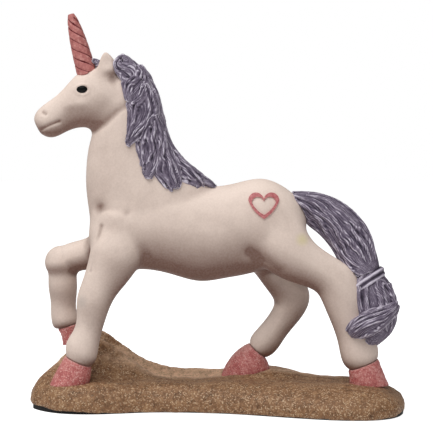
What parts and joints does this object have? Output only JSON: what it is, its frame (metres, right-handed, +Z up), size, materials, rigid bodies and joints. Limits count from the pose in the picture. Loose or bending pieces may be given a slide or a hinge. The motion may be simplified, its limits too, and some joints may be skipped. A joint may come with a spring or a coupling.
{
  "type": "unicorn figurine",
  "caption": "Walking unicorn figurine with a raised foreleg, a spiral horn, a locked mane and a bound tail, standing on modelled ground.",
  "frame": {"origin": "on the table, under the middle of the ground casting's length", "axes": "+Z up, +X from the head towards the tail, -Y the animal's own left side"},
  "size_m": [0.14, 0.064, 0.1468],
  "materials": {
    "white_coat": "hand-painted warm off-white, matt, with beige shading in the hollows",
    "horn_pink": "dusty pink paint, matt, paler on the ridges",
    "hoof_pink": "dusty pink paint, rough and faintly glittered",
    "mane_purple": "dark purple paint, dry-brushed pale lavender on the strands",
    "eye_black": "gloss black",
    "sand_ground": "sandy brown, rough and faintly glittered",
    "black_sole": "black felt",
    "pin_steel": "plain steel wire, hidden in the glued joints"
  },
  "bodies": {
    "root": {"torso": "white_coat", "neck": "white_coat", "head": "white_coat", "left_ear": "white_coat", "right_ear": "white_coat", "left_foreleg": "white_coat", "right_foreleg": "white_coat", "left_hindleg": "white_coat", "right_hindleg": "white_coat", "horn": "horn_pink", "heart": "horn_pink", "left_forehoof": "hoof_pink", "right_forehoof": "hoof_pink", "left_hindhoof": "hoof_pink", "right_hindhoof": "hoof_pink", "forelock": "mane_purple", "mane_crest": "mane_purple", "mane_lock_poll": "mane_purple", "mane_lock_cheek": "mane_purple", "mane_lock_upper": "mane_purple", "mane_lock_middle": "mane_purple", "mane_lock_lower": "mane_purple", "mane_lock_withers": "mane_purple", "mane_far_upper": "mane_purple", "mane_far_middle": "mane_purple", "mane_far_lower": "mane_purple", "tail_upper": "mane_purple", "tail_lower": "mane_purple", "tail_tie": "mane_purple", "tail_curl": "mane_purple", "left_eye": "eye_black", "right_eye": "eye_black", "ground_casting": "sand_ground", "sole_pad": "black_sole", "leg_dowels": "pin_steel", "foot_pins": "pin_steel", "neck_dowel": "pin_steel", "head_dowel": "pin_steel", "horn_pin": "pin_steel", "tail_pin": "pin_steel"}
  },
  "joints": []
}
